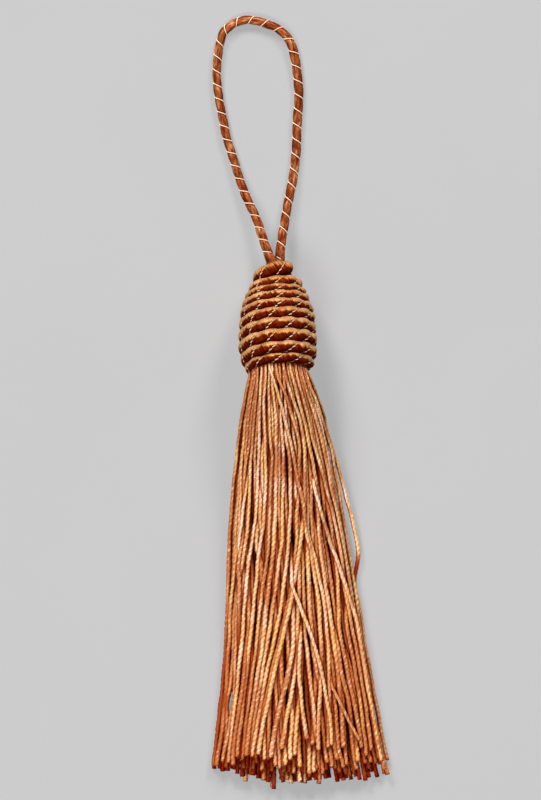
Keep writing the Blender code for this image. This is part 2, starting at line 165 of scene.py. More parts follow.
# Yarns that lie on the top of the bundle: a tone from rust to pale, how far it stands out in
# millimetres, and the row and column of each place that it passes, on a grid of quarter
# millimetres whose rows run down the skirt and whose columns run to the right
GRID = 0.25
MOUTH_ROW, AXIS_COLUMN = 367.5, 277.2
TOP_YARNS = (
    (0.3, 0.3, 372, 250, 400, 245, 420, 241, 440, 238.5, 480, 234, 530, 230, 600, 228, 654, 225.5,
     678, 223.4, 702, 221, 726, 218.4, 750, 215, 766, 213.5),
    (0.45, 0.3, 372, 254, 400, 249, 440, 244, 480, 241, 520, 240.3, 560, 236, 600, 231.5, 640, 229.6,
     660, 228, 680, 226.8, 700, 225.8, 720, 223.4, 740, 220.8, 767, 216.5),
    (0.6, 0.3, 372, 258, 400, 256, 440, 252.6, 480, 250, 520, 248.5, 560, 243, 600, 238, 650, 236,
     680, 235, 700, 234.2, 720, 230.6, 740, 227, 763, 222.5),
    (0.95, 0.3, 372, 262, 400, 260, 440, 259.3, 480, 258, 520, 256, 540, 252.5, 560, 249, 600, 245,
     640, 242, 700, 236, 740, 231, 764, 229),
    (0.75, 0.4, 372, 266, 400, 264, 440, 265, 480, 265.7, 515, 264, 550, 259.5, 590, 255.5, 640, 250,
     700, 243.5, 758, 237),
    (0.55, 0.3, 372, 269.5, 400, 269, 440, 270.5, 460, 272, 500, 270, 550, 268, 600, 261, 640, 257,
     700, 249, 760, 243),
    (0.65, 0.3, 372, 272, 400, 274, 420, 276, 480, 276, 530, 274.6, 560, 272, 610, 266, 640, 263,
     700, 254, 757, 246),
    (0.68, 0.6, 368, 269, 378, 272.5, 391, 277, 412, 282.5, 440, 289.5, 460, 293.5, 480, 297.5,
     505, 303, 530, 305.5, 550, 309.5, 570, 313.5, 600, 318, 640, 320.5, 670, 321, 730, 318, 751, 318),
    (0.35, 0.4, 368, 276, 380, 279, 400, 287, 420, 293, 440, 298.5, 470, 299, 510, 297, 550, 296,
     590, 291, 630, 282, 680, 270, 730, 260, 759, 256),
    (0.8, 0.6, 368, 283, 380, 286.5, 400, 292.5, 420, 299.5, 440, 303.5, 480, 304.5, 510, 304,
     530, 302, 550, 299, 580, 294.5, 600, 291, 620, 286.5, 650, 279, 700, 268, 756, 258),
    (0.7, 0.4, 368, 289.5, 385, 294.5, 415, 302, 440, 308, 470, 313.3, 500, 316.8, 520, 318,
     540, 319.5, 560, 321.5, 580, 324.5, 600, 327.5, 640, 333.5, 700, 340.5, 748, 343),
    (0.6, 0.3, 368, 295, 400, 303.5, 440, 312.5, 475, 322.5, 520, 333.5, 545, 339, 570, 342.5,
     600, 346.5, 640, 354.5, 700, 364.5, 752, 371),
    (0.5, 0.2, 368, 300, 400, 309.5, 440, 321.5, 480, 329.3, 520, 338, 560, 345.2, 580, 348.8,
     600, 352, 640, 358.5, 700, 369, 760, 379),
    (0.5, 0.2, 370, 305, 400, 315.5, 440, 328.2, 460, 332.9, 477, 336, 488, 338.4, 500, 340.2,
     525, 344.3, 548, 348, 568, 351.7, 606, 357, 630, 360, 654, 363.2, 678, 367.3, 702, 370.8,
     726, 374.2, 740, 377, 760, 381.5, 770, 384.5),
    (0.75, 0.4, 430, 285.5, 460, 289.5, 500, 290.3, 540, 288.5, 580, 284.5, 600, 281.5, 620, 278,
     670, 267, 730, 257, 757, 252),
    (0.65, 0.4, 420, 281, 460, 283.3, 500, 282.5, 540, 282, 560, 279, 600, 273.8, 640, 267.5, 700, 258,
     756, 250),
    (0.9, 0.9, 478, 312, 495, 316.5, 510, 320, 522, 323.8, 534, 327.5, 545, 331, 555, 335, 570, 340,
     585, 345, 600, 350, 615, 354.5, 630, 358.5, 660, 363, 700, 370, 740, 377, 762, 381),
    (0.7, -0.2, 550, 305, 580, 309.5, 600, 312, 640, 315.5, 690, 315, 745, 313),
    (0.8, 0.4, 530, 307.5, 550, 312.5, 570, 317.5, 600, 323.6, 640, 327.5, 680, 329, 730, 328.5,
     748, 328),
    (0.15, -0.4, 530, 323.5, 560, 327.5, 580, 330.5, 600, 333, 640, 338.5, 700, 343.5, 746, 340),
    (1, 1.1, 583, 291.5, 590, 294, 602, 298.5, 612, 302.3, 625, 307.3, 640, 313, 660, 318.5,
     680, 323, 695, 326, 725, 330.5, 745, 331.5),
    (0.5, -0.3, 590, 297.5, 620, 298, 650, 301, 690, 300, 730, 296, 756, 294),
    (0.7, 0.2, 600, 303.5, 650, 307, 700, 312.5, 742, 316),
    (0.85, 0.4, 640, 293.5, 660, 290.5, 700, 281.5, 740, 273, 758, 271),
    (0.7, 0.3, 640, 297.5, 665, 296, 690, 291.5, 730, 284.5, 749, 281),
    (0.92, 1, 682, 330.3, 688, 333, 700, 339, 712, 344.5, 725, 350.5, 735, 356.5, 741, 361),
    (0.6, 0.3, 620, 338, 670, 347, 720, 357, 748, 361.5),
    (0.35, 0.2, 620, 346, 670, 355, 730, 363.5, 757, 366),
    (0.8, 0.4, 680, 299, 690, 300.5, 705, 302, 739, 306.5),
)
# Places where the upper yarns part
PARTINGS = (
    # from_mouth, x, to_from_mouth, to_x, width
    (24, 3.3, 48, 3.9, 0.75), (25, 7.6, 38, 9, 0.8), (36, 10.9, 46, 13, 0.6),
    (44, 6.6, 58, 5.4, 0.8), (60, -8.4, 80, -9.4, 0.5), (70, 1.8, 92, 2.2, 0.6),
    (86, 17.2, 102, 18.8, 0.8), (64, 15.4, 78, 17, 0.5), (82, -6.6, 100, -7.6, 0.45),
    (74, -10.4, 90, -11.6, 0.4),
)
# Slits near the edges, where the floor shows through
SLITS = (
    # from_mouth, x, half_length, width
    (84.1, -11.7, 3.6, 0.75),
    (87.5, 24.7, 5, 0.6),
)
# Where the lowest yarns end, on the same grid
LOW_ENDS = (
    # column, row
    (211, 767), (220, 770), (237, 772), (245, 782), (250, 773), (262, 779), (268, 780), (273, 789),
    (279, 780), (286, 783), (300, 780), (307, 782), (320, 776), (333, 784), (345, 778), (355, 779),
    (362, 782), (370, 775), (380, 781), (389, 774),
)
# The yarn that springs out of the bundle on the right
STRAY_YARN = (
    # row, column, height
    (425, 325, 6.4), (430, 326.6, 6.2), (445, 331.2, 5.3), (460, 335.4, 4.5), (470, 338.4, 4),
    (480, 341.2, 3.6), (492, 344.6, 3.2), (512, 349.8, 2.6), (525, 353, 2.3), (540, 356.5, 2),
    (551, 358.3, 1.7), (560, 358.3, 1.4), (570, 356.2, 1.1), (580, 355, 0.8), (592, 355.6, 0.6),
    (610, 359.4, 0.6), (630, 362.7, 0.6), (654, 366.2, 0.6), (678, 371, 0.6), (702, 375.2, 0.6),
    (726, 379.9, 0.6), (750, 384.2, 0.6), (773, 389, 0.6),
)
STRAY_BEND = 50.6  # from the mouth


# ---------------- curves


def smooth(rows, at):
    """Values at places along a table, on a smooth curve through its rows (Catmull-Rom)."""
    rows = np.array(rows, float)
    last = len(rows) - 1
    at = np.clip(np.asarray(at, float), 0, last)
    i = np.minimum(at.astype(int), last - 1)
    t = (at - i)[..., None]
    before, a, b, after = (rows[np.clip(i + k, 0, last)] for k in (-1, 0, 1, 2))
    bend, twist = 2 * before - 5 * a + 4 * b - after, 3 * a - 3 * b + after - before
    return 0.5 * (2 * a + (b - before) * t + bend * t**2 + twist * t**3)


def passing(table, distance):
    """The other columns of a table at distances that its first column measures, smoothed."""
    table = np.array(table, float)
    at = np.interp(distance, table[:, 0], np.arange(len(table)))
    return smooth(table, at)[..., 1:]


def lengths(path):
    """The distance along a path at each of its points."""
    steps = np.linalg.norm(np.diff(path, axis=0), axis=1)
    return np.concatenate([[0], np.cumsum(steps)])


def evenly(path, step):
    """A path's points again, an even step apart."""
    along = lengths(path)
    places = np.linspace(0, along[-1], max(2, round(along[-1] / step) + 1))
    return np.stack([np.interp(places, along, path[:, k]) for k in range(3)], axis=1)


def growing(value, start, end):
    """0 up to a start, 1 from an end on, and a straight line between them."""
    return np.clip((value - start) / (end - start), 0, 1)


def bell(offset, width):
    """1 where an offset is 0, and near 0 from about twice the width on."""
    return np.exp(-((offset / width) ** 2))


def from_whole(turns):
    """How far a number of turns is from the nearest whole one."""
    return np.abs((turns + 0.5) % 1 - 0.5)


def eased(share):
    """A share from 0 to 1 that starts and ends gently."""
    share = np.clip(share, 0, 1)
    return share**2 * (3 - 2 * share)


def unit(vectors):
    return vectors / np.maximum(np.linalg.norm(vectors, axis=-1, keepdims=True), 1e-12)


def round_angles(sides):
    return np.arange(sides) / sides * TAU


def turned(first, second, angle):
    """The direction at an angle from the first of two directions towards the second."""
    return first * np.cos(angle)[..., None] + second * np.sin(angle)[..., None]


def carried_frames(path, first):
    """Two directions across a path at each of its points, carried along it without a twist."""
    tangent = unit(np.gradient(path, axis=0))
    normal = np.empty_like(tangent)
    n = np.array(first, float)
    for k, t in enumerate(tangent):
        n = unit(n - t * (n * t).sum())
        normal[k] = n
    return normal, np.cross(tangent, normal)


def round_tube(path, radius, sides):
    """Rings of a plain round tube, and the distance along it at each."""
    normal, binormal = carried_frames(path, (0.1, 0.2, 1))
    ring = turned(normal[:, None], binormal[:, None], round_angles(sides))
    return path[:, None] + ring * radius, lengths(path)


def waves(rng, shape, places, wavelength):
    """Sums of three slow waves with seeded phases, about -1 to 1, at places along a length."""
    total = np.zeros((*shape, len(places)))
    for octave, weight in ((1, 0.6), (1.7, 0.3), (2.9, 0.2)):
        phase = rng.uniform(0, TAU, (*shape, 1))
        total += weight * np.sin(TAU * places * octave / wavelength + phase)
    return total


# ---------------- meshes


def put_in_scene(name, data):
    made = bpy.data.objects.new(name, data)
    bpy.context.scene.collection.objects.link(made)
    return made


class Tubes:
    """Tubes gathered into one mesh. Its u goes once round a tube, and v along it in millimetres."""

    def __init__(self):
        self.points, self.quads, self.quad_uvs = [], [], []
        self.tris, self.tri_uvs, self.values = [], [], {}
        self.count = 0

    def add(self, rings, along, values=None, bulge=(0.1, 0.1)):
        """Add a tube, closed at both ends.

        rings holds the points of each ring, shape (rings, sides, 3), in millimetres. values are
        for each point, and bulge says how far the middle of each end stands out.
        """
        steps, sides = rings.shape[:2]
        index = self.count + np.arange(steps * sides).reshape(steps, sides)
        index = np.append(index, index[:, :1], axis=1)
        uv = np.stack(np.broadcast_arrays(np.arange(sides + 1) / sides, along[:, None]), axis=-1)
        for grid, kept, shape in ((index, self.quads, (-1, 4)), (uv, self.quad_uvs, (-1, 2))):
            corners = [grid[:-1, :-1], grid[:-1, 1:], grid[1:, 1:], grid[1:, :-1]]
            kept.append(np.stack(corners, axis=2).reshape(shape))
        self.points.append(rings.reshape(-1, 3))
        middle = self.count + steps * sides
        for end, (ring, inner) in enumerate(((0, 1), (-1, -2))):
            centre = rings[ring].mean(axis=0)
            outward = unit(centre - rings[inner].mean(axis=0))
            self.points.append((centre + outward * bulge[end])[None])
            edge = [index[ring, :-1], index[ring, 1:]]
            if end == 0:
                edge.reverse()
            self.tris.append(np.stack([*edge, np.full(sides, middle + end)], axis=-1))
            corners = [uv[ring, :-1], uv[ring, 1:], uv[ring, :-1]]
            self.tri_uvs.append(np.stack(corners, axis=1).reshape(-1, 2))
        for name, value in (values or {}).items():
            value = np.broadcast_to(np.asarray(value, float), (steps, sides))
            ends = [value[0].mean(), value[-1].mean()]
            self.values.setdefault(name, []).append(np.concatenate([value.ravel(), ends]))
        self.count += steps * sides + 2

    def as_object(self, name, side_material, end_material=None):
        quads, tris = np.concatenate(self.quads), np.concatenate(self.tris)
        points = np.concatenate(self.points) * MM
        mesh = bpy.data.meshes.new(name)
        mesh.vertices.add(len(points))
        mesh.vertices.foreach_set("co", points.ravel())
        mesh.loops.add(quads.size + tris.size)
        mesh.loops.foreach_set("vertex_index", np.concatenate([quads.ravel(), tris.ravel()]))
        mesh.polygons.add(len(quads) + len(tris))
        starts = [np.arange(len(quads)) * 4, quads.size + np.arange(len(tris)) * 3]
        mesh.polygons.foreach_set("loop_start", np.concatenate(starts))
        ends = np.repeat([0, 1 if end_material else 0], [len(quads), len(tris)])
        mesh.polygons.foreach_set("material_index", ends)
        layer = mesh.uv_layers.new(name="UVMap")
        mesh.update(calc_edges=True)
        layer.data.foreach_set("uv", np.concatenate(self.quad_uvs + self.tri_uvs).ravel())
        for key, arrays in self.values.items():
            attribute = mesh.attributes.new(key, "FLOAT", "POINT")
            attribute.data.foreach_set("value", np.concatenate(arrays).astype(np.float32))
        mesh.shade_smooth()
        mesh.materials.append(side_material)
        if end_material:
            mesh.materials.append(end_material)
        return put_in_scene(name, mesh)


# ---------------- materials

# Colours are in linear light. The tones go from rust to pale.
SKIRT_TONES = (
    (0, (0.42, 0.14, 0.052)), (0.3, (0.55, 0.28, 0.115)),
    (0.6, (0.71, 0.44, 0.215)), (1, (0.86, 0.65, 0.49)),
)
WOUND_TONES = (0, (0.33, 0.125, 0.033)), (0.5, (0.47, 0.255, 0.094)), (1, (0.63, 0.38, 0.175))
LOOP_TONES = (0, (0.13, 0.02, 0.004)), (0.5, (0.28, 0.075, 0.02)), (1, (0.52, 0.22, 0.09))
GOLDEN, PINK, WORN_RUST = (0.75, 0.45, 0.14), (0.74, 0.37, 0.22), (0.35, 0.1, 0.033)
# The fleck and the ply groove are painted shade on the yarns, and the glint a painted highlight
PAINTED_FLECK_SHADE, HIDDEN_FILAMENT, PAINTED_PLY_GROOVE_SHADE = (0.38, 0.125, 0.035), (0.42, 0.12, 0.03), (0.35, 0.095, 0.025)
PAINTED_GLINT = (0.92, 0.66, 0.42)
# Painted shade where a yarn is hidden by its neighbours
SKIRT_PAINTED_SHADE, SKIRT_PAINTED_DEEP_SHADE = (0.31, 0.073, 0.018), (0.19, 0.009, 0.0005)
# On the wound cord, the rib groove and the three shades are painted shade, and the sheen a painted highlight
WOUND_TOOTH, WOUND_FLOSS, PAINTED_RIB_GROOVE_SHADE = (0.28, 0.075, 0.016), (0.26, 0.07, 0.016), (0.18, 0.038, 0.006)
WOUND_PAINTED_SHEEN, WOUND_PAINTED_SHADE = (0.62, 0.43, 0.27), (0.14, 0.036, 0.008)
WOUND_PAINTED_DEEP_SHADE, WOUND_PAINTED_DEEPEST_SHADE = ((0.06, 0.0025, 0.0002), (0.11, 0.014, 0.002)), (0.045, 0.001, 0.0001)
# The loop's groove colour is painted shade
LOOP_FILAMENT, LOOP_PAINTED_SHADE = (0.09, 0.009, 0.002), (0.05, 0.004, 0.0008)
CUT_ENDS = (0.2, 0.035, 0.012), (0.42, 0.12, 0.035)
# The core's colours are painted shade, dark as wound silk in shadow
PAINTED_SHADE_CORE = (0.11, 0.026, 0.008), (0.2, 0.055, 0.018)


class Nodes:
    """A material's nodes, made and linked in short calls."""

    def __init__(self, name):
        self.material = bpy.data.materials.new(name)
        self.material.use_nodes = True
        self.tree = self.material.node_tree
        self.shader = self.tree.nodes["Principled BSDF"]

    def fill(self, node, inputs):
        """Link each of a node's inputs to an output, or set it to a number, a vector or a colour."""
        for key, value in inputs.items():
            socket = node.inputs[key]
            if isinstance(value, bpy.types.NodeSocket):
                self.tree.links.new(value, socket)
            else:
                socket.default_value = (*value, 1) if socket.type == "RGBA" else value

    def add(self, kind, inputs=None, **settings):
        node = self.tree.nodes.new("ShaderNode" + kind)
        for key, value in settings.items():
            setattr(node, key, value)
        self.fill(node, inputs or {})
        return node

    def math(self, operation, a, b=0):
        return self.add("Math", {0: a, 1: b}, operation=operation).outputs[0]

    def remap(self, value, span, to=(0, 1)):
        """A value's span stretched to another one, with its ends as limits."""
        inputs = {"Value": value, "From Min": span[0], "From Max": span[1]}
        inputs |= {"To Min": to[0], "To Max": to[1]}
        return self.add("MapRange", inputs).outputs["Result"]

    def mix(self, factor, a, b):
        return self.add("Mix", {0: factor, 6: a, 7: b}, data_type="RGBA").outputs[2]

    def layered(self, colour, *layers):
        """A colour under layers of tints, each with a share that changes over a span of a value."""
        for tint, value, span, share in layers:
            colour = self.mix(self.remap(value, span, share), colour, tint)
        return colour

    def value(self, name):
        return self.add("Attribute", attribute_name=name).outputs["Fac"]

    def noise(self, vector, scale, detail=2, roughness=0.5, offset=(0, 0, 0)):
        """Soft noise, which a scale of three numbers stretches."""
        if isinstance(scale, tuple):
            inputs = {"Vector": vector, "Scale": scale, "Location": offset}
            vector, scale = self.add("Mapping", inputs).outputs["Vector"], 1
        inputs = {"Vector": vector, "Scale": scale, "Detail": detail, "Roughness": roughness}
        return self.add("TexNoise", inputs).outputs["Fac"]

    def uv(self):
        """The tube's UV, and its two numbers: how far round the tube, and how far along it."""
        uv = self.add("UVMap", uv_map="UVMap").outputs["UV"]
        parts = self.add("SeparateXYZ", {0: uv}).outputs
        return uv, parts["X"], parts["Y"]

    def place(self):
        return self.add("TexCoord").outputs["Object"]

    def ramp(self, factor, stops):
        node = self.add("ValToRGB", {"Fac": factor})
        elements = node.color_ramp.elements
        for position, _ in stops[2:]:
            elements.new(position)
        for element, (position, colour) in zip(elements, stops):
            element.position, element.color = position, (*colour, 1)
        return node.outputs["Color"]

    def painted_shading(self, colour, painted_openness, shade, deep, full):
        """Painted shade: the colour where the silk is lit, and two darker painted shades where it is hidden
        from the light.
        """
        layers = (shade, painted_openness, (0.42, full), (1, 0)), (deep, painted_openness, (0.08, 0.5), (1, 0))
        return self.layered(colour, *layers)

    def silk(self, colour, roughness, metallic, tint, level):
        """Set the shader. Silk's reflections have its own colour, and are weak at grazing angles."""
        inputs = {"Base Color": colour, "Roughness": roughness, "Metallic": metallic}
        self.fill(self.shader, inputs | {"Specular Tint": tint, "Specular IOR Level": level})

    def bump(self, height, distance):
        node = self.add("Bump", {"Height": height, "Distance": distance})
        self.fill(self.shader, {"Normal": node.outputs["Normal"]})


def skirt_silk():
    n = Nodes("skirt_silk")
    uv, around, _ = n.uv()
    place = n.place()
    tone, painted_openness = n.value("tone"), n.value("painted_light")
    blotch = n.remap(n.noise(place, (300, 150, 300)), (0.3, 0.7), (-0.38, 0.38))
    # Some lengths of it are more golden, and some are pinker or rust
    gilt = n.noise(place, (330, 42, 330), 1, offset=(3, 1, 0))
    worn = n.noise(place, (270, 34, 270), offset=(9, 4, 2))
    worn = n.math("SUBTRACT", worn, n.remap(tone, (0.1, 0.9), (-0.06, 0.06)))
    # The two plies with painted shade in their groove, their filaments, and painted shade on short lengths,
    # as if they turned from the light
    ply = n.math("ABSOLUTE", n.math("COSINE", n.math("MULTIPLY", around, TAU)))
    filaments = n.noise(uv, (34, 0.9, 1), 3, 0.6, (3, 0, 0))
    shade_fleck = n.noise(uv, (4, 1.3, 1), 2, 0.65)
    colour = n.layered(
        n.ramp(n.math("ADD", tone, blotch), SKIRT_TONES),
        (GOLDEN, gilt, (0.49, 0.62), (0, 0.62)),
        (PINK, gilt, (0.32, 0.45), (0.38, 0)),
        (WORN_RUST, worn, (0.51, 0.59), (0, 0.85)),
        (PAINTED_FLECK_SHADE, shade_fleck, (0.38, 0.56), (0.62, 0)),
        (HIDDEN_FILAMENT, filaments, (0.35, 0.65), (0.3, 0)),
        (PAINTED_PLY_GROOVE_SHADE, ply, (0, 0.5), (0.5, 0)),
    )
    # A painted highlight glints on the plies' crests here and there
    painted_glint = n.remap(n.noise(uv, (3, 1.2, 1), 2, 0.6, (5, 2, 0)), (0.5, 0.66), (0, 0.5))
    colour = n.mix(n.math("MULTIPLY", painted_glint, n.remap(ply, (0.3, 0.9))), colour, PAINTED_GLINT)
    # Painted shade where the neighbours hide the yarn, and on its underside
    colour = n.painted_shading(colour, painted_openness, SKIRT_PAINTED_SHADE, SKIRT_PAINTED_DEEP_SHADE, 0.8)
    n.silk(colour, roughness=0.42, metallic=0.25, tint=(1, 0.6, 0.36), level=0.06)
    n.bump(filaments, 0.06 * MM)
    return n.material


def wound_silk():
    n = Nodes("wound_silk")
    uv, around, along = n.uv()
    painted_openness, tone = n.value("painted_light"), n.value("tone")
    blotch = n.remap(n.noise(n.place(), 230, 3), (0.3, 0.7), (-0.22, 0.22))
    floss = n.noise(uv, (3.5, 13, 1), 2, 0.6)
    # The floss goes round aslant, so that the painted lit side ends in slanted teeth
    slant = n.math("ADD", along, n.math("MULTIPLY", around, FLOSS_SLANT))
    aslant = n.add("CombineXYZ", {"X": around, "Y": slant}).outputs[0]
    teeth = n.noise(aslant, (2, 1.9, 1), 2, 0.6)
    painted_openness = n.math("ADD", painted_openness, n.remap(teeth, (0.3, 0.7), (-0.45, 0.45)))
    # Painted shade in the rib grooves, and a painted sheen on the lit side
    colour = n.layered(
        n.ramp(n.math("ADD", tone, blotch), WOUND_TONES),
        (WOUND_TOOTH, teeth, (0.3, 0.6), (0.45, 0)),
        (WOUND_FLOSS, floss, (0.35, 0.65), (0.58, 0)),
        (PAINTED_RIB_GROOVE_SHADE, n.value("rib"), (0, 0.8), (0.75, 0)),
        (WOUND_PAINTED_SHEEN, painted_openness, (1.1, 1.9), (0, 0.25)),
    )
    # Painted shade on the other side of each turn, darkest at the bottom, with the floss's hatch in it
    deep = n.mix(n.remap(teeth, (0.4, 0.62)), *WOUND_PAINTED_DEEP_SHADE)
    colour = n.painted_shading(colour, painted_openness, WOUND_PAINTED_SHADE, deep, 0.9)
    colour = n.layered(colour, (WOUND_PAINTED_DEEPEST_SHADE, painted_openness, (-2.6, -0.6), (0.85, 0)))
    n.silk(colour, roughness=0.42, metallic=0.3, tint=(1, 0.45, 0.2), level=0)
    n.bump(floss, 0.06 * MM)
    return n.material


def loop_silk():
    n = Nodes("loop_silk")
    uv, _, _ = n.uv()
    blotch = n.remap(n.noise(n.place(), 300, 3), (0.3, 0.7))
    filaments = n.noise(uv, (9, 0.35, 1), 3, 0.6, (7, 0, 0))
    # Painted shade in the plies' grooves, under the thread's nips and on the cord's sides
    colour = n.layered(
        n.ramp(blotch, LOOP_TONES),
        (LOOP_FILAMENT, filaments, (0.4, 0.56), (0.85, 0)),
        (LOOP_PAINTED_SHADE, n.value("painted_light"), (0, 0.8), (0.97, 0)),
    )
    n.silk(colour, roughness=0.4, metallic=0.25, tint=(1, 0.55, 0.3), level=0.05)
    n.bump(filaments, 0.05 * MM)
    return n.material


def thread(name, pale, deep, roughness, lit=None):
    """A twisted thread. With a lit colour, it takes that painted light where it lies on the silk's painted
    lit side, and its deep colour as painted shade where it lies on the other side.
    """
    n = Nodes(name)
    if lit:
        pale = n.mix(n.value("painted_light"), pale, lit)
        pale = n.mix(n.value("tone"), pale, deep)
    _, around, along = n.uv()
    phase = n.math("ADD", around, n.math("MULTIPLY", along, THREAD_TWISTS))
    wave = n.math("ABSOLUTE", n.math("SINE", n.math("MULTIPLY", phase, TAU)))
    colour = n.layered(pale, (deep, wave, (0, 0.5), (1, 0)))
    n.fill(n.shader, {"Base Color": colour, "Roughness": roughness})
    n.bump(wave, 0.04 * MM)
    return n.material


def cut_silk():
    n = Nodes("cut_silk")
    colour = n.mix(n.noise(n.place(), 5200), *CUT_ENDS)
    n.fill(n.shader, {"Base Color": colour, "Roughness": 0.8})
    return n.material


def core_silk():
    n = Nodes("core_silk")
    colour = n.mix(n.noise(n.place(), 900), *PAINTED_SHADE_CORE)
    n.silk(colour, roughness=0.7, metallic=0.2, tint=(1, 0.5, 0.25), level=0.05)
    return n.material


# ---------------- stage, light and camera

VIEW_CENTRE = (-1.675 * MM, -20.675 * MM)
VIEW_HEIGHT = 200 * MM
CAMERA_REACH = 1.2
FOCUS_HEIGHT = 5 * MM
FILM_HEIGHT = 24

FLOOR_GREYS = (0.125, 0.125, 0.128), (0.14, 0.14, 0.142)
FLOOR_GLOW = 0.322
FLOOR_RADIUS = 4

LAMP_SIZE = 1.2
LAMP_AIM = Vector((0, -0.02, 0))
WARM = (1, 0.975, 0.95)
LAMPS = (
    # name, place, watts, colour
    ("key_left", (-1.5, 3, 2.3), 211, WARM),
    ("key_right", (1.5, 3, 2.3), 184, WARM),
    ("fill", (-0.6, -1.5, 2.2), 68, (1, 0.98, 0.95)),
)
STUDIO_COLOUR, STUDIO_STRENGTH = (0.86, 0.87, 0.9, 1), 0.12


def make_camera():
    data = bpy.data.cameras.new("overhead")
    data.sensor_fit = "VERTICAL"
    data.sensor_height = FILM_HEIGHT
    data.lens = FILM_HEIGHT * CAMERA_REACH / VIEW_HEIGHT
    data.clip_start, data.clip_end = 0.01, 20
    camera = put_in_scene("overhead", data)
    camera.location = (*VIEW_CENTRE, CAMERA_REACH + FOCUS_HEIGHT)
    bpy.context.scene.camera = camera


def make_floor():
    n = Nodes("pale_floor")
    colour = n.mix(n.noise(n.place(), 14, 4), *FLOOR_GREYS)
    n.fill(n.shader, {"Base Color": colour, "Roughness": 0.9, "Specular IOR Level": 0.1})
    n.fill(n.shader, {"Emission Color": (1, 1, 1.01), "Emission Strength": FLOOR_GLOW})
    bpy.ops.mesh.primitive_circle_add(vertices=64, radius=FLOOR_RADIUS, fill_type="NGON")
    floor = bpy.context.object
    floor.name = "pale_floor"
    floor.data.materials.append(n.material)


def make_light():
    for name, place, watts, colour in LAMPS:
        data = bpy.data.lights.new(name, "AREA")
        data.shape, data.size, data.energy, data.color = "DISK", LAMP_SIZE, watts, colour
        lamp = put_in_scene(name, data)
        lamp.location = place
        lamp.rotation_euler = (LAMP_AIM - Vector(place)).to_track_quat("-Z", "Y").to_euler()
    world = bpy.data.worlds.new("studio")
    world.use_nodes = True
    background = world.node_tree.nodes["Background"].inputs
    background["Color"].default_value = STUDIO_COLOUR
    background["Strength"].default_value = STUDIO_STRENGTH
    bpy.context.scene.world = world
    bpy.context.scene.view_settings.view_transform = "Standard"


# ---------------- hanging loop


def wrap_phase(along):
    """How many times the binding thread has gone round the loop's cord."""
    first, last = LOOP_WRAP_PITCHES
    growth = (last - first) / along[-1]
    return np.log1p(growth * along / first) / growth


def make_loop():
    fine = smooth(LOOP_ROUTE, np.linspace(0, len(LOOP_ROUTE) - 1, 1800))
    path = evenly(fine, LOOP_STEP)
    along = lengths(path)
    normal, binormal = carried_frames(path, (0, 0, 1))
    wraps = wrap_phase(along)
    swell = LOOP_UNEVENNESS * waves(np.random.default_rng(YARN_SEED), (), along, 9)
    thicker = 1 + LOOP_RIGHT_SWELL * growing(path[:, 0], 0, 4)

    angles = round_angles(LOOP_SIDES)
    ring = turned(normal[:, None], binormal[:, None], angles)
    nip = bell(from_whole(wraps[:, None] + angles / TAU), LOOP_NIP_WIDTH)
    ply = np.abs(np.cos((angles - along[:, None] * TAU / LOOP_LAY) * LOOP_PLIES / 2))
    radius = LOOP_DIAMETER / 2 - LOOP_NIP * nip + LOOP_PLY_DEPTH * (np.sqrt(ply) - 0.8)
    radius = (radius + swell[:, None]) * thicker[:, None]
    # The two legs swell towards each other where they go into the head
    near_head = np.exp(-along / LEG_SWELL_LENGTH) + np.exp(-(along[-1] - along) / LEG_SWELL_LENGTH)
    inward = np.where(along < along[-1] / 2, 1, -1)[:, None]
    leg_swell = LEG_SWELL + LEG_INWARD_SWELL * np.clip(ring[..., 0] * inward, 0, 1)
    radius += near_head[:, None] * leg_swell
    rings = path[:, None] + ring * radius[..., None]
    rings[..., 2] = np.maximum(rings[..., 2], FLOOR_GAP)
    # Painted shade: darker in the plies' grooves, in the binding thread's nips and on the cord's sides
    # towards the floor
    painted_openness = np.clip(np.minimum(ply * 1.8 + 0.1, 1.25 - nip), 0, 1)
    painted_openness *= np.clip(0.15 + 1.1 * ring[..., 2], 0.1, 1)
    cord = Tubes()
    cord.add(rings, along, {"painted_light": painted_openness}, (0.3, 0.3))
    cord = cord.as_object("loop_cord", loop_silk())
    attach(cord, "root")
    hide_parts("hanging_loop")

    reach = LOOP_DIAMETER / 2 * thicker - LOOP_NIP + LOOP_THREAD * 0.8 + swell
    line = path + turned(normal, binormal, -TAU * wraps) * reach[:, None]
    line = line[8:-8]
    line[:, 2] = np.maximum(line[:, 2], LOOP_THREAD)
    binding = Tubes()
    binding.add(*round_tube(line, LOOP_THREAD, 8))
    binding = binding.as_object("loop_thread", thread("pale_thread", *LOOP_THREAD_COLOURS, 0.45))
    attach(binding, "root")


# ---------------- head


def winding(turns):
    """Centre, outward direction, half width and half height of the wound cord at numbers of turns."""
    axial, crest = smooth(HEAD_TURNS, turns).T
    ahead = smooth(HEAD_TURNS, turns + 0.5).T
    behind = smooth(HEAD_TURNS, np.maximum(turns - 0.5, 0)).T
    spacing = np.hypot(ahead[0] - behind[0], ahead[1] - behind[1])
    spacing = np.where(turns < 0.5, spacing / (turns + 0.5), spacing)
    spacing = np.clip(spacing, *TURN_SPACING)
    half_height = np.clip(CORD_FLATNESS * spacing, *CORD_HALF_HEIGHT)
    outward = turned(HEAD_RIGHT, HEAD_UP, START_ANGLE - TAU * turns)
    centre = MOUTH + HEAD_AXIS * axial[:, None] + outward * (crest - half_height)[:, None]
    return centre, outward, spacing / 2 * TURN_PRESS, half_height


